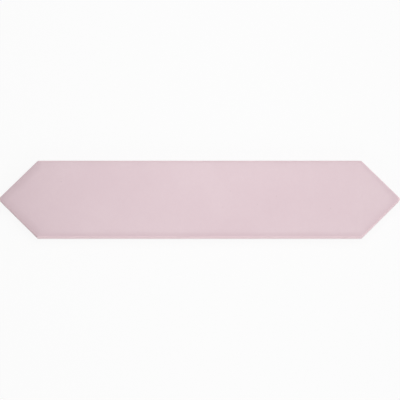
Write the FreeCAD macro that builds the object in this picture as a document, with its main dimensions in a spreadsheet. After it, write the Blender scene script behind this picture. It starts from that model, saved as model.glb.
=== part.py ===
import FreeCAD, Part

import math
import os

import Sketcher

# An elongated hexagon wall tile with a cushion edge, pressed and fired as one piece of glazed ceramic.
# It lies face up. The origin is the middle of its back, +X runs along it and +Z points out of its face.
# Lengths are in millimetres and angles in degrees.

sizes = [
    ("length", "250", "over the two rounded points"),
    ("width", "49", "across the two long sides"),
    ("thickness", "8", "from the back to the flat of the face"),
    ("point_angle", "90", "between the two sides that meet at a point"),
    ("tip_radius", "1.5", "rounding of the two points, seen from above"),
    ("shoulder_radius", "1.2", "rounding of the four shoulders, seen from above"),
    ("cushion_width", "5.8", "how far in from the side the face is curved"),
    ("cushion_drop", "0.57", "how far the curve has fallen where it meets the side"),
    ("cushion_run", "1.5", "how far past the side the curve is carried, for the corners to blend"),
    ("arris_radius", "0.9", "rounding between the face and the side wall"),
    ("seam_height", "5", "height of the die seam, which is the widest line of the wall"),
    ("wall_draft", "2.5", "lean of the wall under the seam, for the tile to leave its die"),
    ("back_bevel", "0.7", "bevel round the back"),
    ("cell_pitch", "10", "from one keying cell of the back to the next"),
    ("rib_width", "2", "the rib left between two cells"),
    ("cell_depth", "0.8", "depth of the cells that the adhesive keys into"),
    ("cell_draft", "20", "lean of the cell walls"),
    ("cell_bevel", "0.7", "bevel of the cell corners, seen from the back"),
    ("rim_width", "5", "the plain rim that frames the cells"),
]

# The cushion's section is an arc that starts level on the flat of the face and falls towards the side.
# It is cut on a block wider than the tile, whose own rim then falls away with the waste.
# The cells are cut by a field of studs, one for each cell, trimmed to stay inside the rim.
worked_out = [
    ("half_point", "=Sizes.point_angle / 2", "lean of a slanted side from the long axis"),
    ("half_width", "=Sizes.width / 2", "middle to long side"),
    ("sharp_reach", "=Sizes.length / 2 + Sizes.tip_radius * (1 / sin(half_point) - 1)",
     "middle to a point before it is rounded"),
    ("tip_centre", "=Sizes.length / 2 - Sizes.tip_radius", "centre of a tip's rounding"),
    ("shoulder_rise", "=half_width - Sizes.shoulder_radius", "centre of a shoulder's rounding, across"),
    ("shoulder_run",
     "=sharp_reach - Sizes.shoulder_radius / sin(half_point) - shoulder_rise / tan(half_point)",
     "centre of a shoulder's rounding, along"),
    ("over_seam", "=Sizes.thickness - Sizes.seam_height + Sizes.cushion_drop",
     "upright wall over the seam, to just over the face"),
    ("cushion_radius", "=(Sizes.cushion_width ^ 2 + Sizes.cushion_drop ^ 2) / (2 * Sizes.cushion_drop)",
     "radius of the cushion's arc"),
    ("cushion_lean", "=asin((Sizes.cushion_width + Sizes.cushion_run) / cushion_radius)",
     "lean of the arc at its outer end"),
    ("flat_inset", "=Sizes.cushion_width - cushion_radius * tan(cushion_lean / 2)",
     "side of the tile to the line where the flat and the lean would meet"),
    ("margin", "=2 * Sizes.cushion_width", "waste round the block"),
    ("block_rise", "=half_width + margin", "middle to the block's long side"),
    ("block_reach", "=sharp_reach + margin / sin(half_point)", "middle to the block's point"),
    ("block_shoulder", "=block_reach - block_rise / tan(half_point)",
     "middle to the block's shoulder, along"),
    ("lean_run", "=margin + flat_inset", "width of the lean on the block"),
    ("lean_fall", "=lean_run * tan(cushion_lean)", "how far the lean falls across the block"),
    ("block_height", "=Sizes.thickness + lean_fall", "deep enough to hold the whole tile under the lean"),
    ("corner_share", "0.8", "the most of a corner's radius that the edge running round it takes up"),
    ("least_corner", "=min(Sizes.tip_radius; Sizes.shoulder_radius)", "smallest corner radius at the seam"),
    ("arris_size", "=min(Sizes.arris_radius; corner_share * least_corner)", "arris, kept within the corners"),
    ("back_corner", "=least_corner - Sizes.seam_height * tan(Sizes.wall_draft)",
     "smallest corner radius at the back"),
    ("back_edge_size", "=min(Sizes.back_bevel; corner_share * back_corner)",
     "back bevel, kept within the corners"),
    ("field_rise", "=half_width - Sizes.rim_width", "middle to the rim, across"),
    ("field_reach", "=sharp_reach - Sizes.rim_width / sin(half_point)", "middle to the rim, along"),
    ("field_shoulder", "=field_reach - field_rise / tan(half_point)", "middle to the rim's shoulder, along"),
    ("cell_width", "=Sizes.cell_pitch - Sizes.rib_width", "one cell, from side to side"),
    ("cell_reach", "=cell_width / 2", "middle of a cell to its side"),
    ("columns", "=2 * ceil(field_reach / Sizes.cell_pitch)", "cells along the tile, an even count"),
    ("rows", "=2 * ceil(field_rise / Sizes.cell_pitch)", "cells across the tile, an even count"),
    ("first_column", "=(columns - 1) / 2 * Sizes.cell_pitch", "middle of the tile to its first cells, along"),
    ("first_row", "=(rows - 1) / 2 * Sizes.cell_pitch", "middle of the tile to its first cells, across"),
    ("cell_far_column", "=first_column + cell_reach", "middle of the tile to their far sides, along"),
    ("cell_far_row", "=first_row + cell_reach", "middle of the tile to their far sides, across"),
    ("stud_foot", "=-Sizes.cell_depth", "height of a stud's foot, below the tile"),
    ("stud_height", "=2 * Sizes.cell_depth", "stud from its foot to the floor of its cell"),
    ("field_foot", "=2 * stud_foot", "height of the trimming block's foot"),
    ("field_height", "=2 * stud_height", "trimming block, from under the studs to over them"),
]

# Edges and faces are found by their height, to within this much.
near = 0.001

doc = FreeCAD.newDocument("hexagon_tile")


def fill_sheet(name, rows):
    sheet = doc.addObject("Spreadsheet::Sheet", name)
    for row, (alias, content, note) in enumerate(rows, start=1):
        sheet.set(f"A{row}", note)
        sheet.set(f"B{row}", content)
        sheet.setAlias(f"B{row}", alias)
    doc.recompute()


def number(cell):
    """The value in a cell, which is named as Sheet.alias."""
    sheet, alias = cell.split(".")
    content = doc.getObject(sheet).get(alias)
    return getattr(content, "Value", content)


def new_body(name):
    body = doc.addObject("PartDesign::Body", name)
    body.Label = name
    return body


def back_plane(body):
    """The plane of the tile's back, which every body shares."""
    return next(plane for plane in body.Origin.OriginFeatures if plane.Role == "XY_Plane")


def level_sketch(body, name, height):
    """A sketch parallel to the tile's back, at the height in a cell."""
    sketch = body.newObject("Sketcher::SketchObject", name)
    sketch.AttachmentSupport = [(back_plane(body), "")]
    sketch.MapMode = "FlatFace"
    sketch.setExpression("AttachmentOffset.Base.z", height)
    return sketch


def bind(sketch, cell, kind, *place):
    """A dimension of the sketch that follows a cell."""
    index = sketch.addConstraint(Sketcher.Constraint(kind, *place, number(cell)))
    sketch.setExpression(f"Constraints[{index}]", cell)


def link(sketch, kind, *place):
    sketch.addConstraint(Sketcher.Constraint(kind, *place))


def six_places(reach, shoulder, rise):
    """Six places round the middle, from the right point by way of the upper side."""
    places = [(reach, 0), (shoulder, rise), (-shoulder, rise),
              (-reach, 0), (-shoulder, -rise), (shoulder, -rise)]
    return [FreeCAD.Vector(x, y, 0) for x, y in places]


def closed_chain(sketch, places):
    """Straight sides from place to place and back to the first."""
    for side, place in enumerate(places):
        sketch.addGeometry(Part.LineSegment(place, places[(side + 1) % len(places)]))
    for side in range(len(places)):
        link(sketch, "Coincident", side, 2, (side + 1) % len(places), 1)


# In a sketch, -1 with 1 is the origin, -1 alone is the long axis and -2 the cross axis.
# On a line 1 is the start and 2 the end, and on an arc 3 is the centre.

def sharp_hexagon(sketch, reach, shoulder, rise):
    """A hexagon with sharp corners, on the cells for its point and for its shoulder along and across."""
    closed_chain(sketch, six_places(number(reach), number(shoulder), number(rise)))
    link(sketch, "PointOnObject", 0, 1, -1)
    link(sketch, "Symmetric", 0, 1, 3, 1, -1, 1)
    link(sketch, "Symmetric", 1, 1, 2, 1, -2)
    link(sketch, "Symmetric", 1, 1, 5, 1, -1)
    link(sketch, "Symmetric", 2, 1, 4, 1, -1)
    bind(sketch, reach, "DistanceX", -1, 1, 0, 1)
    bind(sketch, shoulder, "DistanceX", -1, 1, 1, 1)
    bind(sketch, rise, "DistanceY", -1, 1, 1, 1)


def rounded_outline(sketch, centres, radii, facings):
    """Arcs round the centres, counter-clockwise, joined by tangent sides that face the given ways in degrees.

    Side 0 follows arc 0. The arcs come after the sides in the sketch, and their numbers are returned.
    """
    count = len(centres)
    arcs = []
    for turn, (centre, radius) in enumerate(zip(centres, radii)):
        circle = Part.Circle(centre, FreeCAD.Vector(0, 0, 1), radius)
        start, end = math.radians(facings[turn - 1]), math.radians(facings[turn])
        arcs.append(Part.ArcOfCircle(circle, start, end))
    for turn, arc in enumerate(arcs):
        sketch.addGeometry(Part.LineSegment(arc.EndPoint, arcs[(turn + 1) % count].StartPoint))
    numbers = [sketch.addGeometry(arc) for arc in arcs]
    for side, arc in enumerate(numbers):
        link(sketch, "Tangent", arc, 2, side, 1)
        link(sketch, "Tangent", side, 2, numbers[(side + 1) % count], 1)
    return numbers


def rounded_hexagon(sketch):
    """The outline of the tile at its die seam."""
    lean = number("Worked.half_point")
    tip, shoulder = number("Sizes.tip_radius"), number("Sizes.shoulder_radius")
    centres = six_places(number("Worked.tip_centre"), number("Worked.shoulder_run"),
                         number("Worked.shoulder_rise"))
    radii = [tip, shoulder, shoulder, tip, shoulder, shoulder]
    facings = [90 - lean, 90, 90 + lean, 270 - lean, 270, 270 + lean]
    arcs = rounded_outline(sketch, centres, radii, facings)
    right, upper_right, upper_left, left, lower_left, lower_right = arcs
    link(sketch, "Equal", right, left)
    for other in (upper_left, lower_left, lower_right):
        link(sketch, "Equal", upper_right, other)
    link(sketch, "PointOnObject", right, 3, -1)
    link(sketch, "Symmetric", right, 3, left, 3, -1, 1)
    link(sketch, "Symmetric", upper_right, 3, upper_left, 3, -2)
    link(sketch, "Symmetric", upper_right, 3, lower_right, 3, -1)
    link(sketch, "Symmetric", upper_left, 3, lower_left, 3, -1)
    bind(sketch, "Sizes.tip_radius", "Radius", right)
    bind(sketch, "Sizes.shoulder_radius", "Radius", upper_right)
    bind(sketch, "Worked.tip_centre", "DistanceX", -1, 1, right, 3)
    bind(sketch, "Worked.shoulder_run", "DistanceX", -1, 1, upper_right, 3)
    bind(sketch, "Worked.shoulder_rise", "DistanceY", -1, 1, upper_right, 3)


def first_cell(sketch):
    """The mouth of the first cell, at the lower left of the field, before its corners are bevelled."""
    column, row = number("Worked.first_column"), number("Worked.first_row")
    reach = number("Worked.cell_reach")
    left, right, low, high = -column - reach, reach - column, -row - reach, reach - row
    places = [FreeCAD.Vector(x, y, 0) for x, y in ((left, low), (right, low), (right, high), (left, high))]
    closed_chain(sketch, places)
    for side, kind in enumerate(("Horizontal", "Vertical", "Horizontal", "Vertical")):
        link(sketch, kind, side)
    bind(sketch, "Worked.cell_width", "DistanceX", 0, 1, 0, 2)
    bind(sketch, "Worked.cell_width", "DistanceY", 1, 1, 1, 2)
    bind(sketch, "Worked.cell_far_column", "DistanceX", 0, 1, -1, 1)
    bind(sketch, "Worked.cell_far_row", "DistanceY", 0, 1, -1, 1)


def pad(body, sketch, name, up=None, down=None, draft_down=None):
    """Material over and under a sketch, as far as the cells say. A draft leans the lower walls in."""
    feature = body.newObject("PartDesign::Pad", name)
    feature.Profile = sketch
    if up and down:
        feature.SideType = "Two sides"
        feature.setExpression("Length2", down)
    feature.Reversed = up is None
    feature.setExpression("Length", up or down)
    if draft_down:
        feature.setExpression("TaperAngle2", f"-{draft_down}")
    doc.recompute()
    return feature


def named_edges(shape, wanted):
    """The names of the edges of the shape that the test wants."""
    return [f"Edge{index}" for index, edge in enumerate(shape.Edges, start=1) if wanted(edge)]


def combine(body, name, kind, other):
    """What the body keeps of itself with another body: Common what both fill, Cut what the other leaves."""
    feature = body.newObject("PartDesign::Boolean", name)
    feature.Type = kind
    feature.setObjects([other])
    body.Tip = feature
    doc.recompute()
    return feature


def make_cushion():
    """The block whose upper side is the face: flat, then curved down all round, blended at the corners."""
    body = new_body("cushion")
    sketch = level_sketch(body, "block_outline", "Sizes.thickness")
    sharp_hexagon(sketch, "Worked.block_reach", "Worked.block_shoulder", "Worked.block_rise")
    block = pad(body, sketch, "block", down="Worked.block_height")
    top = number("Sizes.thickness") - near

    lean = body.newObject("PartDesign::Chamfer", "lean")
    lean.Base = (block, named_edges(block.Shape, lambda edge: edge.BoundBox.ZMin > top))
    lean.ChamferType = "Two distances"
    lean.setExpression("Size", "Worked.lean_fall")
    lean.setExpression("Size2", "Worked.lean_run")
    doc.recompute()

    curve = body.newObject("PartDesign::Fillet", "curve")
    curve.Base = (lean, named_edges(lean.Shape, lambda edge: edge.BoundBox.ZMax > top))
    curve.setExpression("Radius", "Worked.cushion_radius")
    doc.recompute()
    return body


def lean_in(body, solid, name, angle):
    """Leans the upright walls of the solid inwards, about the plane of the tile's back."""
    draft = body.newObject("PartDesign::Draft", name)
    walls = [f"Face{index}" for index, face in enumerate(solid.Shape.Faces, start=1)
             if face.BoundBox.ZLength > near]
    draft.Base = (solid, walls)
    draft.NeutralPlane = (back_plane(body), [""])
    draft.setExpression("Angle", angle)
    doc.recompute()
    return draft


def make_field():
    """What trims the studs: the area inside the rim, with the same lean as the cell walls."""
    body = new_body("field")
    sketch = level_sketch(body, "rim_outline", "Worked.field_foot")
    sharp_hexagon(sketch, "Worked.field_reach", "Worked.field_shoulder", "Worked.field_rise")
    block = pad(body, sketch, "rim_block", up="Worked.field_height")
    lean_in(body, block, "rim_walls", "Sizes.cell_draft")
    return body


def repeat(body, name, sketch, axis, count):
    """Copies of all that the body holds so far, one cell pitch apart along an axis of the sketch."""
    pattern = body.newObject("PartDesign::LinearPattern", name)
    pattern.TransformMode = "Whole shape"
    pattern.Direction = (sketch, [axis])
    pattern.Mode = "Spacing"
    pattern.setExpression("Offset", "Sizes.cell_pitch")
    pattern.setExpression("Occurrences", count)
    body.Tip = pattern
    doc.recompute()


def make_studs(field):
    """A stud for each cell of the back, reaching up into the tile from just below it."""
    body = new_body("studs")
    sketch = level_sketch(body, "cell_outline", "Worked.stud_foot")
    first_cell(sketch)
    block = pad(body, sketch, "stud_block", up="Worked.stud_height")
    leaning = lean_in(body, block, "stud_walls", "Sizes.cell_draft")

    corners = body.newObject("PartDesign::Chamfer", "stud_corners")
    corners.Base = (leaning, named_edges(leaning.Shape, lambda edge: edge.BoundBox.ZLength > near))
    corners.setExpression("Size", "Sizes.cell_bevel")
    doc.recompute()

    repeat(body, "row_of_studs", sketch, "H_Axis", "Worked.columns")
    repeat(body, "rows_of_studs", sketch, "V_Axis", "Worked.rows")
    combine(body, "trimmed_studs", "Common", field)
    return body


def make_tile(cushion, studs):
    """The tile: upright over the seam, leaning in below it, the cushion face above and the cells below."""
    body = new_body("hexagon_tile")
    sketch = level_sketch(body, "outline", "Sizes.seam_height")
    rounded_hexagon(sketch)
    pad(body, sketch, "blank", up="Worked.over_seam", down="Sizes.seam_height", draft_down="Sizes.wall_draft")
    faced = combine(body, "faced", "Common", cushion)

    seam = number("Sizes.seam_height")
    upright = [face for face in faced.Shape.Faces if abs(face.BoundBox.ZMin - seam) < near]
    brim = [edge for face in upright for edge in face.Edges if edge.BoundBox.ZMin > seam + near]
    arris = body.newObject("PartDesign::Fillet", "arris")
    arris.Base = (faced, named_edges(faced.Shape, lambda edge: any(edge.isSame(other) for other in brim)))
    arris.setExpression("Radius", "Worked.arris_size")
    doc.recompute()

    bevel = body.newObject("PartDesign::Chamfer", "back_edge")
    bevel.Base = (arris, named_edges(arris.Shape, lambda edge: edge.BoundBox.ZMax < near))
    bevel.setExpression("Size", "Worked.back_edge_size")
    doc.recompute()

    combine(body, "keyed_back", "Cut", studs)
    return body


def check(part):
    for item in doc.Objects:
        if "Invalid" in item.State or "Error" in item.State:
            raise RuntimeError(f"{item.Label} did not build: {item.State}")
        if item.isDerivedFrom("PartDesign::Feature") and (item.Shape.isNull() or not item.Shape.isValid()):
            raise RuntimeError(f"{item.Label} has no sound shape")
    if part.Shape.isNull() or not part.Shape.isValid() or len(part.Shape.Solids) != 1:
        raise RuntimeError(f"{part.Label} is not one sound solid")


fill_sheet("Sizes", sizes)
fill_sheet("Worked", worked_out)
tile = make_tile(make_cushion(), make_studs(make_field()))
doc.recompute()
check(tile)

os.makedirs("parts", exist_ok=True)
tile.Shape.exportStep(f"parts/{tile.Label}.step")
box = tile.Shape.BoundBox
lengths = f"{box.XLength:.2f} x {box.YLength:.2f} x {box.ZLength:.2f} mm"
print(f"{tile.Label}: {lengths}, {tile.Shape.Volume:.0f} mm3")
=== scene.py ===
# One slim hexagon wall tile with a pale pink gloss glaze, face up on a white studio floor.
import math
import bpy
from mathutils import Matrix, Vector


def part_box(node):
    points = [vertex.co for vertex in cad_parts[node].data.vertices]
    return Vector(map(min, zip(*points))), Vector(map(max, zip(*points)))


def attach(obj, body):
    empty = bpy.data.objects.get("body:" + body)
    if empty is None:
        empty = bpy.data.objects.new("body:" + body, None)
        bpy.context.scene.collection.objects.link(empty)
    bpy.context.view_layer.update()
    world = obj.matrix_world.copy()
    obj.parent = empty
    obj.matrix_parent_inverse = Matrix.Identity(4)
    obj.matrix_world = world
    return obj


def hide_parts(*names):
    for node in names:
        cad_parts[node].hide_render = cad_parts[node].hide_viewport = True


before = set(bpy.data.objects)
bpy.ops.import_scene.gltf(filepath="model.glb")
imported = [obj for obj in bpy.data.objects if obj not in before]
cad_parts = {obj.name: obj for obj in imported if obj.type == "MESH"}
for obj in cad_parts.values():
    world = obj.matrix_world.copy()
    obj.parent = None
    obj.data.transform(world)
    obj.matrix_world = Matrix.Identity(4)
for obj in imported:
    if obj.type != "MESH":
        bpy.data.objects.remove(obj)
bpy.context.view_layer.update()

tileLow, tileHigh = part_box("hexagon_tile")
mm = 0.001  # metres in a millimetre

# The tile in millimetres and degrees. Its length, width and thickness come from the frame.
tile = {
    "Length": (tileHigh[0] - tileLow[0]) / mm,
    "Width": (tileHigh[1] - tileLow[1]) / mm,
    "Thickness": (tileHigh[2] - tileLow[2]) / mm,
    "Point Angle": 90.0,
    "Tip Radius": 1.5,
    "Shoulder Radius": 1.2,
    "Cushion Width": 5.8,
    "Cushion Drop": 0.57,
    "Arris Radius": 0.9,
    "Arris Turn": 78.0,  # how far the rounding turns from the wall before it meets the face
    "Seam Height": 5.0,
    "Wall Lean": 2.5,
    "Back Bevel": 0.7,
    "Bevel Softness": 0.45,  # 0 is a flat bevel, 1 a full round
    "Back Lip": 0.15,  # narrow level strip beside the bevel
    "Edge Wander": 0.12,  # how far the pressed edge strays inwards
    "Wander Size": 23.0,
    "Wave Height": 0.16,  # slow swell of the hand-finished face
    "Wave Size": 38.0,
    "Ripple Height": 0.014,  # orange peel of the glaze
    "Ripple Size": 5.0,
    "Glaze Line": 1.5,  # height on the wall where the glaze ends
    "Glaze Run": 0.9,  # how far that line rises and falls
    "Run Size": 16.0,
    "Glaze Thickness": 0.12,
    "Seed": 4.0,
}

# The keying cells of the back, in millimetres and degrees
cells = {
    "Cell Pitch": 10.0,
    "Rib Width": 2.0,
    "Cell Depth": 0.8,
    "Cell Lean": 20.0,
    "Cell Corner": 0.9,
    "Rim Width": 5.0,
}

# Columns of faces in a quarter of the outline
columns = {"tip": 6, "slant": 44, "shoulder": 6, "side": 124}
quarter = sum(columns.values())

# Kinds of sockets
numberSocket = "NodeSocketFloat"
vectorSocket = "NodeSocketVector"
meshSocket = "NodeSocketGeometry"
materialSocket = "NodeSocketMaterial"


# Small helpers that add and join nodes
def plug(tree, value, socket):
    if isinstance(value, bpy.types.Node):
        value = value.outputs[0]
    if isinstance(value, bpy.types.NodeSocket):
        tree.links.new(value, socket)
    else:
        socket.default_value = value


def addNode(tree, kind, inputs=None, **settings):
    node = tree.nodes.new(kind)
    for name, value in settings.items():
        setattr(node, name, value)
    for name, value in (inputs or {}).items():
        plug(tree, value, node.inputs[name])
    return node


def calc(tree, operation, *values):
    return addNode(tree, "ShaderNodeMath", dict(enumerate(values)), operation=operation).outputs[0]


def total(tree, *values):
    result = values[0]
    for value in values[1:]:
        result = calc(tree, "ADD", result, value)
    return result


def product(tree, *values):
    result = values[0]
    for value in values[1:]:
        result = calc(tree, "MULTIPLY", result, value)
    return result


def less(tree, first, second):
    return calc(tree, "SUBTRACT", first, second)


def share(tree, first, second):
    return calc(tree, "DIVIDE", first, second)


def larger(tree, first, second):
    return calc(tree, "MAXIMUM", first, second)


def turned(tree, function, degrees):
    return calc(tree, function, calc(tree, "RADIANS", degrees))


def vec(tree, x=0.0, y=0.0, z=0.0):
    return addNode(tree, "ShaderNodeCombineXYZ", {"X": x, "Y": y, "Z": z}).outputs[0]


def axesOf(tree, value):
    return addNode(tree, "ShaderNodeSeparateXYZ", {0: value}).outputs


def spread(tree, value, fromLow, fromHigh, toLow=0.0, toHigh=1.0, kind="LINEAR"):
    names = ("Value", "From Min", "From Max", "To Min", "To Max")
    inputs = dict(zip(names, (value, fromLow, fromHigh, toLow, toHigh)))
    return addNode(tree, "ShaderNodeMapRange", inputs, interpolation_type=kind).outputs[0]


def blendOf(tree, amount, first, second):
    return spread(tree, amount, 0.0, 1.0, first, second)


def noise(tree, place, size, seed=0.0, detail=1.0, roughness=0.5):
    inputs = {"Vector": place, "W": seed, "Scale": share(tree, 1.0, size)}
    inputs.update({"Detail": detail, "Roughness": roughness})
    return addNode(tree, "ShaderNodeTexNoise", inputs, noise_dimensions="4D").outputs[0]


# A node group. An input is given as its value, or as its kind of socket where it has no value of its own.
def newTree(name, kind, inputs, outputs):
    tree = bpy.data.node_groups.new(name, kind)
    for socketName, value in inputs.items():
        if isinstance(value, str):
            tree.interface.new_socket(socketName, in_out="INPUT", socket_type=value)
        else:
            socket = tree.interface.new_socket(socketName, in_out="INPUT", socket_type=numberSocket)
            socket.default_value = value
    for socketName, socketKind in outputs.items():
        tree.interface.new_socket(socketName, in_out="OUTPUT", socket_type=socketKind)
    tree.nodes.new("NodeGroupInput")
    tree.nodes.new("NodeGroupOutput")
    return tree


def given(tree, name):
    return tree.nodes["Group Input"].outputs[name]


def giveBack(tree, name, value):
    plug(tree, value, tree.nodes["Group Output"].inputs[name])


# A group inside a tree: its own values first, and every other input from the tree's input of that name
def useGroup(tree, group, own):
    kind = "ShaderNodeGroup" if tree.type == "SHADER" else "GeometryNodeGroup"
    node = addNode(tree, kind, node_tree=group)
    outside = tree.nodes.get("Group Input")
    for socket in node.inputs:
        if socket.name in own:
            plug(tree, own[socket.name], socket)
        elif outside and socket.name in outside.outputs:
            plug(tree, outside.outputs[socket.name], socket)
    return node.outputs


def newObject(name, data):
    thing = bpy.data.objects.new(name, data)
    bpy.context.scene.collection.objects.link(thing)
    return thing


# What more than one tree takes from the tile's sizes
def picked(*names):
    return {name: tile[name] for name in names}


def halfPointOf(tree):
    return share(tree, given(tree, "Point Angle"), 2.0)


def halfWidthOf(tree):
    return share(tree, given(tree, "Width"), 2.0)


# From the middle of the tile to a point, as it would be without its rounding
def sharpReach(tree, sine):
    rounding = product(tree, given(tree, "Tip Radius"), less(tree, share(tree, 1.0, sine), 1.0))
    return total(tree, share(tree, given(tree, "Length"), 2.0), rounding)


# The outline: a place on the rounded hexagon, for a way round of 0 to 4 quarters and a distance in
outlineSizes = picked("Length", "Width", "Point Angle", "Tip Radius", "Shoulder Radius")


def makeOutline():
    inputs = {"Around": 0.0, "Inset": 0.0, **outlineSizes}
    t = newTree("tileOutline", "GeometryNodeTree", inputs, {"Place": vectorSocket})
    tipEnd = columns["tip"] / quarter
    slantEnd = (columns["tip"] + columns["slant"]) / quarter
    sideStart = 1 - columns["side"] / quarter
    step = calc(t, "PINGPONG", given(t, "Around"), 1.0)
    tipTurn = spread(t, step, 0.0, tipEnd)
    slant = spread(t, step, tipEnd, slantEnd)
    shoulderTurn = spread(t, step, slantEnd, sideStart)
    side = spread(t, step, sideStart, 1.0)

    halfWidth = halfWidthOf(t)
    halfPoint = halfPointOf(t)
    sine = turned(t, "SINE", halfPoint)
    slantFacing = less(t, 90.0, halfPoint)
    facing = total(t, product(t, slantFacing, tipTurn), product(t, less(t, 90.0, slantFacing), shoulderTurn))
    fading = less(t, 1.0, share(t, given(t, "Inset"), halfWidth))
    radius = product(t, blendOf(t, slant, given(t, "Tip Radius"), given(t, "Shoulder Radius")), fading)
    deep = total(t, given(t, "Inset"), radius)
    reach = less(t, sharpReach(t, sine), share(t, deep, sine))
    rise = less(t, halfWidth, deep)
    slantX = less(t, reach, product(t, slant, share(t, rise, turned(t, "TANGENT", halfPoint))))
    centreX = product(t, slantX, less(t, 1.0, side))
    centreY = product(t, rise, slant)
    x = total(t, centreX, product(t, radius, turned(t, "COSINE", facing)))
    y = total(t, centreY, product(t, radius, turned(t, "SINE", facing)))

    way = product(t, given(t, "Around"), 90.0)
    signX = calc(t, "SIGN", turned(t, "COSINE", way))
    signY = calc(t, "SIGN", turned(t, "SINE", way))
    giveBack(t, "Place", vec(t, product(t, x, signX), product(t, y, signY)))
    return t


# A six-sided circle or cylinder of radius 1, with its corners moved to those of the tile's hexagon
def hexagonSolid(tree, mesh, inset, lean=0.0):
    x, y, z = axesOf(tree, addNode(tree, "GeometryNodeInputPosition"))
    halfPoint = halfPointOf(tree)
    sine = turned(tree, "SINE", halfPoint)
    deep = total(tree, inset, product(tree, z, lean))
    reach = less(tree, sharpReach(tree, sine), share(tree, deep, sine))
    rise = less(tree, halfWidthOf(tree), deep)
    shoulder = less(tree, reach, share(tree, rise, turned(tree, "TANGENT", halfPoint)))
    along = spread(tree, calc(tree, "ABSOLUTE", x), 0.5, 1.0, shoulder, reach)  # its corners are at 0.5 and 1
    across = product(tree, y, share(tree, rise, math.sin(math.radians(60))))
    place = vec(tree, product(tree, along, calc(tree, "SIGN", x)), across, z)
    return addNode(tree, "GeometryNodeSetPosition", {"Geometry": mesh, "Position": place})


# The face: its height over the back at a place, from the cushion's curve, the swell and the ripples
faceSizes = picked("Thickness", "Cushion Width", "Cushion Drop", "Wave Height", "Wave Size", "Ripple Height",
                   "Ripple Size", "Seed")


def makeFaceHeight():
    inputs = {"Plateau": meshSocket, "Place": vectorSocket, **faceSizes}
    t = newTree("faceHeight", "GeometryNodeTree", inputs, {"Height": numberSocket})
    place = given(t, "Place")
    seed = given(t, "Seed")
    nearest = addNode(t, "GeometryNodeProximity", {"Geometry": given(t, "Plateau"), "Sample Position": place},
                      target_element="FACES")
    away = nearest.outputs["Distance"]
    drop = given(t, "Cushion Drop")
    width = given(t, "Cushion Width")
    squares = total(t, product(t, width, width), product(t, drop, drop))
    arc = share(t, squares, product(t, 2.0, drop))  # radius of the cushion's curve
    fall = less(t, arc, calc(t, "SQRT", less(t, product(t, arc, arc), product(t, away, away))))
    swell = product(t, given(t, "Wave Height"), noise(t, place, given(t, "Wave Size"), seed))
    ripples = noise(t, place, given(t, "Ripple Size"), seed, detail=2.0)
    ripple = product(t, given(t, "Ripple Height"), ripples)
    giveBack(t, "Height", less(t, less(t, given(t, "Thickness"), fall), total(t, swell, ripple)))
    return t


# The edge: how far it strays, where the rounding starts and where the glaze ends, for a way round
edgeSizes = picked("Arris Radius", "Arris Turn", "Edge Wander", "Wander Size", "Glaze Line", "Glaze Run",
                   "Run Size")


def makeEdge():
    inputs = {"Plateau": meshSocket, "Around": 0.0, **outlineSizes, **faceSizes, **edgeSizes}
    outputs = dict.fromkeys(("Wander", "Arris Inset", "Wall Top", "Glaze End"), numberSocket)
    t = newTree("edgeOfTile", "GeometryNodeTree", inputs, outputs)
    rimPlace = useGroup(t, outline, {"Inset": 0.0})["Place"]
    wanderSeed = total(t, given(t, "Seed"), 10.0)
    straying = noise(t, rimPlace, given(t, "Wander Size"), wanderSeed, detail=2.0)
    wander = product(t, given(t, "Edge Wander"), straying)

    radius = given(t, "Arris Radius")
    turn = given(t, "Arris Turn")
    arrisInset = product(t, radius, less(t, 1.0, turned(t, "COSINE", turn)))
    startPlace = useGroup(t, outline, {"Inset": total(t, arrisInset, wander)})["Place"]
    startHeight = useGroup(t, faceHeight, {"Place": startPlace})["Height"]
    wallTop = less(t, startHeight, product(t, radius, turned(t, "SINE", turn)))

    runSeed = total(t, given(t, "Seed"), 20.0)
    run = less(t, noise(t, rimPlace, given(t, "Run Size"), runSeed, detail=3.0, roughness=0.6), 0.5)
    glazeEnd = total(t, given(t, "Glaze Line"), product(t, run, 2.0, given(t, "Glaze Run")))
    giveBack(t, "Wander", wander)
    giveBack(t, "Arris Inset", arrisInset)
    giveBack(t, "Wall Top", wallTop)
    giveBack(t, "Glaze End", glazeEnd)
    return t


# How far the wall leans in at a height: it is upright over the seam
def wallInset(t, height):
    lean = turned(t, "TANGENT", given(t, "Wall Lean"))
    return product(t, lean, larger(t, less(t, given(t, "Seam Height"), height), 0.0))


def bareInset(t, height, notes):
    return total(t, wallInset(t, height), notes["Wander"], given(t, "Glaze Thickness"))


# The paths of the strips: inset and height, for a way along of 0 to 1.
# A path on the face gives no height, because that comes from the face's own tree.
def plateauPath(t, along, notes):
    return spread(t, along, 0.0, 1.0, halfWidthOf(t), given(t, "Cushion Width")), None


def cushionPath(t, along, notes):
    end = total(t, notes["Arris Inset"], notes["Wander"])
    return blendOf(t, along, given(t, "Cushion Width"), end), None


def arrisPath(t, along, notes):
    radius = given(t, "Arris Radius")
    turn = product(t, given(t, "Arris Turn"), less(t, 1.0, along))
    inset = product(t, radius, less(t, 1.0, turned(t, "COSINE", turn)))
    height = total(t, notes["Wall Top"], product(t, radius, turned(t, "SINE", turn)))
    return total(t, inset, notes["Wander"]), height


def glazedWallPath(t, along, notes):
    height = blendOf(t, along, notes["Wall Top"], notes["Glaze End"])
    return total(t, wallInset(t, height), notes["Wander"]), height


def glazeFootPath(t, along, notes):
    turn = product(t, 90.0, along)
    thick = given(t, "Glaze Thickness")
    height = less(t, notes["Glaze End"], product(t, thick, turned(t, "SINE", turn)))
    inset = product(t, thick, less(t, 1.0, turned(t, "COSINE", turn)))
    return total(t, wallInset(t, height), notes["Wander"], inset), height


def bareWallPath(t, along, notes):
    start = less(t, notes["Glaze End"], given(t, "Glaze Thickness"))
    height = blendOf(t, along, start, given(t, "Back Bevel"))
    return bareInset(t, height, notes), height


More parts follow.
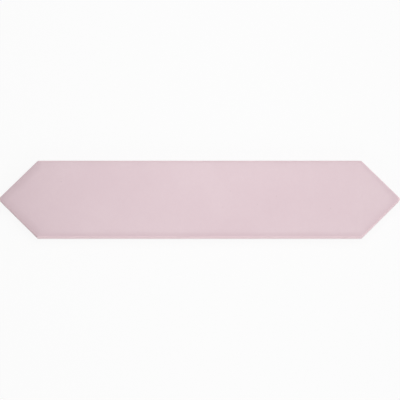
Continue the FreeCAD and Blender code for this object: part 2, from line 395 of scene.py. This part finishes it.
def backBevelPath(t, along, notes):
    bevel = given(t, "Back Bevel")
    soft = given(t, "Bevel Softness")
    turn = product(t, 90.0, along)
    roundIn = less(t, 1.0, turned(t, "COSINE", turn))
    roundDown = turned(t, "SINE", turn)
    inset = product(t, bevel, blendOf(t, soft, along, roundIn))
    height = product(t, bevel, less(t, 1.0, blendOf(t, soft, along, roundDown)))
    return total(t, bareInset(t, bevel, notes), inset), height


def backPath(t, along, notes):
    bevel = given(t, "Back Bevel")
    start = total(t, bareInset(t, bevel, notes), bevel)
    lip = total(t, start, given(t, "Back Lip"))
    outer = spread(t, along, 0.0, 0.5, start, lip)
    inner = spread(t, along, 0.5, 1.0, 0.0, less(t, halfWidthOf(t), lip))
    return total(t, outer, inner), 0.0


# The strips, from the middle of the face over the edge and down to the middle of the back
strips = {
    "plateau": {"rings": 16, "glazed": 1.0, "path": plateauPath},
    "cushion": {"rings": 20, "glazed": 1.0, "path": cushionPath},
    "arris": {"rings": 8, "glazed": 1.0, "path": arrisPath},
    "glazedWall": {"rings": 10, "glazed": 1.0, "path": glazedWallPath},
    "glazeFoot": {"rings": 3, "glazed": 1.0, "path": glazeFootPath},
    "bareWall": {"rings": 5, "glazed": 0.0, "path": bareWallPath},
    "backBevel": {"rings": 5, "glazed": 0.0, "path": backBevelPath},
    "back": {"rings": 2, "glazed": 0.0, "path": backPath},
}
skinWeld = 0.004  # millimetres within which the borders of two strips are joined


def noted(t, mesh, name, value, domain):
    return addNode(t, "GeometryNodeStoreNamedAttribute", {"Geometry": mesh, "Name": name, "Value": value},
                   data_type="FLOAT", domain=domain)


# A strip of faces right round the tile. Its notes are stored before its points move.
def makeStrip(t, plateau, look):
    grid = addNode(t, "GeometryNodeMeshGrid", {"Size X": 4.0, "Size Y": 1.0, "Vertices X": 4 * quarter + 1,
                                               "Vertices Y": look["rings"] + 1})
    gridX, gridY = axesOf(t, addNode(t, "GeometryNodeInputPosition"))[:2]
    around = less(t, 2.0, gridX)
    notes = useGroup(t, edge, {"Plateau": plateau, "Around": around})
    inset, height = look["path"](t, total(t, gridY, 0.5), notes)
    place = useGroup(t, outline, {"Around": around, "Inset": inset})["Place"]
    if height is None:
        height = useGroup(t, faceHeight, {"Plateau": plateau, "Place": place})["Height"]
    x, y = axesOf(t, place)[:2]
    mesh = noted(t, grid, "fromEdge", inset, "POINT")
    mesh = noted(t, mesh, "glazed", look["glazed"], "FACE")
    return addNode(t, "GeometryNodeSetPosition", {"Geometry": mesh, "Position": vec(t, x, y, height)})


def makeSkin(t):
    circle = addNode(t, "GeometryNodeMeshCircle", {"Vertices": 6, "Radius": 1.0}, fill_type="NGON")
    plateau = hexagonSolid(t, circle, given(t, "Cushion Width"))
    joined = addNode(t, "GeometryNodeJoinGeometry")
    for look in strips.values():
        plug(t, makeStrip(t, plateau, look), joined.inputs[0])
    welded = addNode(t, "GeometryNodeMergeByDistance", {"Geometry": joined, "Distance": skinWeld})
    return addNode(t, "GeometryNodeSetMaterial", {"Geometry": welded, "Material": given(t, "Fired Clay")})


# A keying cell, level by level in millimetres: a height, and how far its soft edge widens each side there.
# The mouth's heights are over the back, and the floor's are counted down from the cell's full depth.
cellMouth = [(-0.25, 0.12), (-0.02, 0.10), (0.06, 0.04), (0.18, 0.0)]
cellFloor = [(0.2, 0.0), (0.07, -0.03), (0.0, -0.12)]
cornerSteps = 4
plugWeld = 0.001
fieldHeight = 6.0  # reaches past the plugs, above and below


def mouthWidth(t):
    return less(t, given(t, "Cell Pitch"), given(t, "Rib Width"))


def cellLean(t):
    return turned(t, "TANGENT", given(t, "Cell Lean"))


def plugLevel(t, height, wider):
    side = less(t, mouthWidth(t), product(t, 2.0, cellLean(t), height))
    return height, total(t, side, 2.0 * wider)


def roundedSquare(t):
    square = addNode(t, "GeometryNodeCurvePrimitiveQuadrilateral", {"Width": 1.0, "Height": 1.0})
    corner = share(t, given(t, "Cell Corner"), mouthWidth(t))
    rounded = addNode(t, "GeometryNodeFilletCurve", {"Curve": square, "Count": cornerSteps, "Radius": corner},
                      mode="POLY")
    return addNode(t, "GeometryNodeFillCurve", {"Curve": rounded}, mode="NGONS")


# The plug that presses a cell: a rounded square, raised from level to level and closed below
def pressedPlug(t):
    depth = given(t, "Cell Depth")
    levels = [plugLevel(t, height, wider) for height, wider in cellMouth]
    levels += [plugLevel(t, less(t, depth, down), wider) for down, wider in cellFloor]
    height, side = levels[0]
    base = addNode(t, "GeometryNodeTransform", {"Geometry": roundedSquare(t), "Translation": vec(t, z=height),
                                                "Scale": vec(t, side, side, 1.0)})
    body = base
    top = True
    for nextHeight, nextSide in levels[1:]:
        raised = addNode(t, "GeometryNodeExtrudeMesh", {"Mesh": body, "Selection": top, "Offset Scale": 0.0,
                                                        "Individual": False})
        top = raised.outputs["Top"]
        grown = addNode(t, "GeometryNodeScaleElements", {"Geometry": raised, "Selection": top,
                                                         "Scale": share(t, nextSide, side)})
        lift = vec(t, z=less(t, nextHeight, height))
        body = addNode(t, "GeometryNodeSetPosition", {"Geometry": grown, "Selection": top, "Offset": lift})
        height, side = nextHeight, nextSide
    joined = addNode(t, "GeometryNodeJoinGeometry")
    plug(t, body, joined.inputs[0])
    plug(t, addNode(t, "GeometryNodeFlipFaces", {"Mesh": base}), joined.inputs[0])
    return addNode(t, "GeometryNodeMergeByDistance", {"Geometry": joined, "Distance": plugWeld})


# All the plugs of the back, trimmed to the rim
def makePlugs(t):
    pitch = given(t, "Cell Pitch")
    countAlong = math.ceil(tile["Length"] / cells["Cell Pitch"] / 2) * 2
    countAcross = math.floor(tile["Width"] / cells["Cell Pitch"])
    places = addNode(t, "GeometryNodeMeshGrid", {"Size X": product(t, pitch, countAlong - 1.0),
                                                 "Size Y": product(t, pitch, countAcross - 1.0),
                                                 "Vertices X": countAlong, "Vertices Y": countAcross})
    plugs = addNode(t, "GeometryNodeInstanceOnPoints", {"Points": places, "Instance": pressedPlug(t)})
    plugs = addNode(t, "GeometryNodeRealizeInstances", {"Geometry": plugs})
    prism = addNode(t, "GeometryNodeMeshCylinder", {"Vertices": 6, "Radius": 1.0, "Depth": fieldHeight})
    field = hexagonSolid(t, prism.outputs["Mesh"], given(t, "Rim Width"), cellLean(t))
    trimmed = addNode(t, "GeometryNodeMeshBoolean", operation="INTERSECT", solver="MANIFOLD")
    plug(t, plugs, trimmed.inputs["Mesh 2"])
    plug(t, field, trimmed.inputs["Mesh 2"])
    return addNode(t, "GeometryNodeSetMaterial", {"Geometry": trimmed, "Material": given(t, "Fired Clay")})


crispAngle = 28.0  # degrees between two faces, over which their edge is shaded sharp


def shaded(t, mesh):
    smooth = addNode(t, "GeometryNodeSetShadeSmooth", {"Geometry": mesh, "Shade Smooth": True}, domain="FACE")
    angle = addNode(t, "GeometryNodeInputMeshEdgeAngle").outputs["Unsigned Angle"]
    crisp = addNode(t, "FunctionNodeCompare", {"A": angle, "B": math.radians(crispAngle)},
                    operation="GREATER_THAN")
    return addNode(t, "GeometryNodeSetShadeSmooth", {"Geometry": smooth, "Selection": crisp,
                                                     "Shade Smooth": False}, domain="EDGE")


# The tile itself: its skin with the cells pressed into the back, brought to metres and given its glaze
def makePressedTile():
    inputs = {**tile, **cells, "Glaze": materialSocket, "Fired Clay": materialSocket}
    t = newTree("pressedTile", "GeometryNodeTree", inputs, {"Geometry": meshSocket})
    keyed = addNode(t, "GeometryNodeMeshBoolean", {"Mesh 1": makeSkin(t)}, operation="DIFFERENCE",
                    solver="MANIFOLD")
    plug(t, makePlugs(t), keyed.inputs["Mesh 2"])
    sized = addNode(t, "GeometryNodeTransform", {"Geometry": shaded(t, keyed), "Scale": (mm, mm, mm)})
    real = addNode(t, "GeometryNodeRealizeInstances", {"Geometry": sized})
    glazed = addNode(t, "GeometryNodeInputNamedAttribute", {"Name": "glazed"}, data_type="FLOAT")
    chosen = calc(t, "GREATER_THAN", glazed.outputs["Attribute"], 0.5)
    dressed = addNode(t, "GeometryNodeSetMaterial", {"Geometry": real, "Selection": chosen,
                                                     "Material": given(t, "Glaze")})
    giveBack(t, "Geometry", dressed)
    return t


outline = makeOutline()
faceHeight = makeFaceHeight()
edge = makeEdge()
pressedTile = makePressedTile()
print("scene: node trees ready")


# Materials
def mixColour(tree, amount, first, second):
    node = addNode(tree, "ShaderNodeMix", data_type="RGBA")
    plug(tree, amount, node.inputs["Factor"])
    plug(tree, first, node.inputs[6])
    plug(tree, second, node.inputs[7])
    return node.outputs[2]


def newMaterial(name):
    material = bpy.data.materials.new(name)
    material.use_nodes = True
    return material, material.node_tree, material.node_tree.nodes["Principled BSDF"]


def objectPlace(tree):
    return addNode(tree, "ShaderNodeTexCoord").outputs["Object"]


def addBump(tree, shader, height, strength, distance):
    bump = addNode(tree, "ShaderNodeBump", {"Height": height, "Strength": strength, "Distance": distance})
    plug(tree, bump, shader.inputs["Normal"])


# Fine grain and sparse round specks, which all the materials share
def makeGrain():
    inputs = {"Place": vectorSocket, "Grain Size": 0.0006, "Speck Size": 0.0016, "Speck Share": 0.1}
    t = newTree("bodyGrain", "ShaderNodeTree", inputs, {"Grain": numberSocket, "Specks": numberSocket})
    place = given(t, "Place")
    grains = noise(t, place, given(t, "Grain Size"), seed=3.0, detail=3.0, roughness=0.65)
    scale = share(t, 1.0, given(t, "Speck Size"))
    spots = addNode(t, "ShaderNodeTexVoronoi", {"Vector": place, "Scale": scale}).outputs
    chosen = calc(t, "LESS_THAN", axesOf(t, spots["Color"])[0], given(t, "Speck Share"))
    giveBack(t, "Grain", grains)
    giveBack(t, "Specks", product(t, spread(t, spots["Distance"], 0.10, 0.22, 1.0, 0.0), chosen))
    return t


def grainOf(t, look):
    return useGroup(t, bodyGrain, {"Place": objectPlace(t), "Grain Size": look["grainSize"],
                                   "Speck Size": look["speckSize"], "Speck Share": look["speckShare"]})


# The sizes of the materials' patterns are in metres.
glazeLook = {
    "pink": (0.750, 0.580, 0.625, 1),
    "deeper": (0.708, 0.530, 0.580, 1),
    "paler": (0.800, 0.645, 0.680, 1),
    "thinAndHighlit": (0.90, 0.68, 0.72, 1),  # where the glaze runs thin over the edge it is paler and duller; the paler colour is also a painted highlight on the rounded edge
    "thinHighlitReach": 1.2,  # in millimetres, as the distance from the edge is
    "thinHighlitShare": 0.8,
    "speck": (0.45, 0.33, 0.33, 1),
    "evenness": 0.75,  # how much of the clouds the plain pink covers
    "mottle": 0.25,
    "cloudSize": 0.030,
    "grainSize": 0.0018,
    "speckSize": 0.0024,
    "speckShare": 0.02,
    "dullSize": 0.012,
    "peelSize": 0.0045,
    "roughness": 0.20,
    "dullRoughness": 0.07,
    "thinRoughness": 0.25,
    "refraction": 1.5,
}


def makeGlaze():
    material, t, shader = newMaterial("pinkGlaze")
    place = objectPlace(t)
    grain = grainOf(t, glazeLook)
    clouds = noise(t, place, glazeLook["cloudSize"], seed=1.0, detail=3.0, roughness=0.55)
    colour = mixColour(t, spread(t, clouds, 0.35, 0.65), glazeLook["deeper"], glazeLook["paler"])
    colour = mixColour(t, glazeLook["evenness"], colour, glazeLook["pink"])
    mottling = spread(t, grain["Grain"], 0.3, 0.7, 0.0, glazeLook["mottle"])
    colour = mixColour(t, mottling, colour, glazeLook["deeper"])
    fromEdge = addNode(t, "ShaderNodeAttribute", attribute_name="fromEdge").outputs["Fac"]
    # Near the edge the pink is mixed towards a paler colour. This is partly the thinner glaze and partly a
    # painted highlight where the rounded edge catches the light.
    thinAndHighlit = spread(t, fromEdge, 0.1, glazeLook["thinHighlitReach"], glazeLook["thinHighlitShare"], 0.0, "SMOOTHSTEP")
    colour = mixColour(t, thinAndHighlit, colour, glazeLook["thinAndHighlit"])
    colour = mixColour(t, product(t, grain["Specks"], 0.2), colour, glazeLook["speck"])
    plug(t, colour, shader.inputs["Base Color"])
    dulled = noise(t, place, glazeLook["dullSize"], seed=7.0, detail=4.0, roughness=0.6)
    patches = spread(t, dulled, 0.35, 0.75, 0.0, glazeLook["dullRoughness"])
    rough = total(t, glazeLook["roughness"], patches, product(t, thinAndHighlit, glazeLook["thinRoughness"]))
    plug(t, rough, shader.inputs["Roughness"])
    shader.inputs["IOR"].default_value = glazeLook["refraction"]
    peel = noise(t, place, glazeLook["peelSize"], seed=11.0, detail=2.0)
    height = less(t, product(t, peel, 0.5), product(t, grain["Specks"], 0.1))
    addBump(t, shader, height, strength=0.10, distance=0.0002)
    return material


clayLook = {
    "clay": (0.74, 0.67, 0.59, 1),
    "darker": (0.62, 0.54, 0.46, 1),
    "speck": (0.33, 0.25, 0.2, 1),
    "mottle": 0.35,
    "patchSize": 0.022,
    "grainSize": 0.0005,
    "speckSize": 0.0022,
    "speckShare": 0.16,
    "roughness": 0.80,
    "grainRoughness": 0.12,
}


def makeClay():
    material, t, shader = newMaterial("firedClay")
    grain = grainOf(t, clayLook)
    patches = noise(t, objectPlace(t), clayLook["patchSize"], seed=5.0, detail=4.0, roughness=0.6)
    colour = mixColour(t, spread(t, patches, 0.35, 0.7), clayLook["clay"], clayLook["darker"])
    mottling = spread(t, grain["Grain"], 0.4, 0.75, 0.0, clayLook["mottle"])
    colour = mixColour(t, mottling, colour, clayLook["darker"])
    colour = mixColour(t, product(t, grain["Specks"], 0.6), colour, clayLook["speck"])
    plug(t, colour, shader.inputs["Base Color"])
    uneven = spread(t, grain["Grain"], 0.3, 0.7, 0.0, clayLook["grainRoughness"])
    plug(t, total(t, clayLook["roughness"], uneven), shader.inputs["Roughness"])
    height = less(t, grain["Grain"], product(t, grain["Specks"], 0.4))
    addBump(t, shader, height, strength=0.5, distance=0.0003)
    return material


floorLook = {
    "grey": (0.80, 0.80, 0.80, 1),
    "paler": (0.83, 0.83, 0.83, 1),
    "grainSize": 0.004,
    "speckSize": 0.02,
    "speckShare": 0.0,
    "roughness": 0.9,
    "whiteShare": 0.90,  # the rest of what is seen is the lit floor, with the tile's shadow
    "touch": 0.002,  # a ray shorter than this passes through the floor
}


def makeFloor():
    material, t, shader = newMaterial("studioFloor")
    grain = grainOf(t, floorLook)
    colour = mixColour(t, spread(t, grain["Grain"], 0.3, 0.7), floorLook["grey"], floorLook["paler"])
    plug(t, colour, shader.inputs["Base Color"])
    shader.inputs["Roughness"].default_value = floorLook["roughness"]
    light = addNode(t, "ShaderNodeLightPath").outputs
    seen = larger(t, light["Is Camera Ray"], light["Is Glossy Ray"])
    seen = larger(t, seen, light["Is Transmission Ray"])
    white = addNode(t, "ShaderNodeEmission", {"Color": (1, 1, 1, 1), "Strength": 1.0})
    both = addNode(t, "ShaderNodeMixShader", {"Fac": product(t, seen, floorLook["whiteShare"])})
    plug(t, shader, both.inputs[1])
    plug(t, white, both.inputs[2])
    below = addNode(t, "ShaderNodeNewGeometry").outputs["Backfacing"]
    touching = calc(t, "LESS_THAN", light["Ray Length"], floorLook["touch"])
    unseen = larger(t, below, touching)  # from below, the floor neither hides nor darkens the back
    clear = addNode(t, "ShaderNodeMixShader", {"Fac": unseen})
    plug(t, both, clear.inputs[1])
    plug(t, addNode(t, "ShaderNodeBsdfTransparent"), clear.inputs[2])
    plug(t, clear, t.nodes["Material Output"].inputs["Surface"])
    return material


bodyGrain = makeGrain()
pinkGlaze = makeGlaze()
firedClay = makeClay()
studioFloor = makeFloor()
print("scene: materials ready")


# The tile as a plain mesh
def makeTile():
    holder = newObject("tileHolder", bpy.data.meshes.new("tileHolder"))
    modifier = holder.modifiers.new("pressedTile", "NODES")
    modifier.node_group = pressedTile
    values = {**tile, **cells, "Glaze": pinkGlaze, "Fired Clay": firedClay}
    for item in pressedTile.interface.items_tree:
        if item.in_out == "INPUT":
            modifier[item.identifier] = values[item.name]
    evaluated = holder.evaluated_get(bpy.context.evaluated_depsgraph_get())
    mesh = bpy.data.meshes.new_from_object(evaluated)
    bpy.data.objects.remove(holder)
    mesh.name = "glazedTile"
    for index in reversed(range(len(mesh.materials))):
        if mesh.materials[index] is None:
            mesh.materials.pop(index=index)
    piece = newObject("glazedTile", mesh)
    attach(piece, "root")
    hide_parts("hexagon_tile")
    return piece


glazedTile = makeTile()
print("scene: tile of", len(glazedTile.data.polygons), "faces and",
      len(glazedTile.data.materials), "materials")


# The studio: floor, lamps, sky and camera
studio = {
    "floorSize": 6.0,
    "floorDrop": 0.0002,  # the floor lies just under the ribs of the back
    "cameraTilt": 11.5,  # degrees from straight down, towards the near side
    "cameraAway": 2.0,
    "cameraReach": 20.0,
    "photoWidth": 0.2499,  # metres of the tile's plane that fill the picture from side to side
    "aim": (0.00027, 0.0, 0.0037),
    "sensor": 36.0,
    "skyLeft": 0.15,  # light of the room from the left and from the right
    "skyRight": 0.875,
    "skyGloss": 1.2,
}

lamps = {
    "keyBox": {"place": (0.03, 0.10, 0.32), "aim": (0.03, 0.10, 0.0), "size": (0.30, 0.26), "power": 0.454},
    "nearBox": {"place": (0.05, -0.40, 0.25), "aim": (0.0, 0.0, 0.0), "size": (0.3, 0.2), "power": 0.453},
}


def makeFloorSheet():
    half = studio["floorSize"] / 2
    level = -studio["floorDrop"]
    mesh = bpy.data.meshes.new("floorSheet")
    corners = [(-half, -half, level), (half, -half, level), (half, half, level), (-half, half, level)]
    mesh.from_pydata(corners, [], [(0, 1, 2, 3)])
    mesh.materials.append(studioFloor)
    floor = newObject("floorSheet", mesh)


def aimed(thing, place, target):
    thing.location = place
    thing.rotation_euler = (Vector(target) - Vector(place)).to_track_quat("-Z", "Y").to_euler()


def makeLamp(name, look):
    lamp = bpy.data.lights.new(name, "AREA")
    lamp.shape = "RECTANGLE"
    lamp.size, lamp.size_y = look["size"]
    lamp.energy = look["power"]
    aimed(newObject(name, lamp), look["place"], look["aim"])


def makeCamera():
    lens = bpy.data.cameras.new("studioCamera")
    lens.sensor_width = studio["sensor"]
    lens.lens = studio["sensor"] * studio["cameraAway"] / studio["photoWidth"]
    lens.clip_end = studio["cameraReach"]
    camera = newObject("studioCamera", lens)
    tilt = math.radians(studio["cameraTilt"])
    aim = Vector(studio["aim"])
    aimed(camera, aim + Vector((0, -math.sin(tilt), math.cos(tilt))) * studio["cameraAway"], aim)
    bpy.context.scene.camera = camera


def makeSky():
    world = bpy.data.worlds.new("studioSky")
    world.use_nodes = True
    t = world.node_tree
    sky = t.nodes["Background"]
    sky.inputs["Color"].default_value = (1, 1, 1, 1)
    light = addNode(t, "ShaderNodeLightPath").outputs
    toRight = axesOf(t, addNode(t, "ShaderNodeTexCoord").outputs["Generated"])[0]
    room = spread(t, toRight, -1.0, 1.0, studio["skyLeft"], studio["skyRight"])
    seen = larger(t, light["Is Camera Ray"], light["Is Transmission Ray"])
    mirrored = calc(t, "MINIMUM", product(t, room, studio["skyGloss"]), 1.0)
    glossy = product(t, light["Is Glossy Ray"], mirrored)
    plug(t, larger(t, larger(t, seen, glossy), room), sky.inputs["Strength"])
    bpy.context.scene.world = world


makeFloorSheet()
for lampName, lampLook in lamps.items():
    makeLamp(lampName, lampLook)
makeSky()
makeCamera()
bpy.context.scene.view_settings.view_transform = "Standard"
print("scene: studio ready")
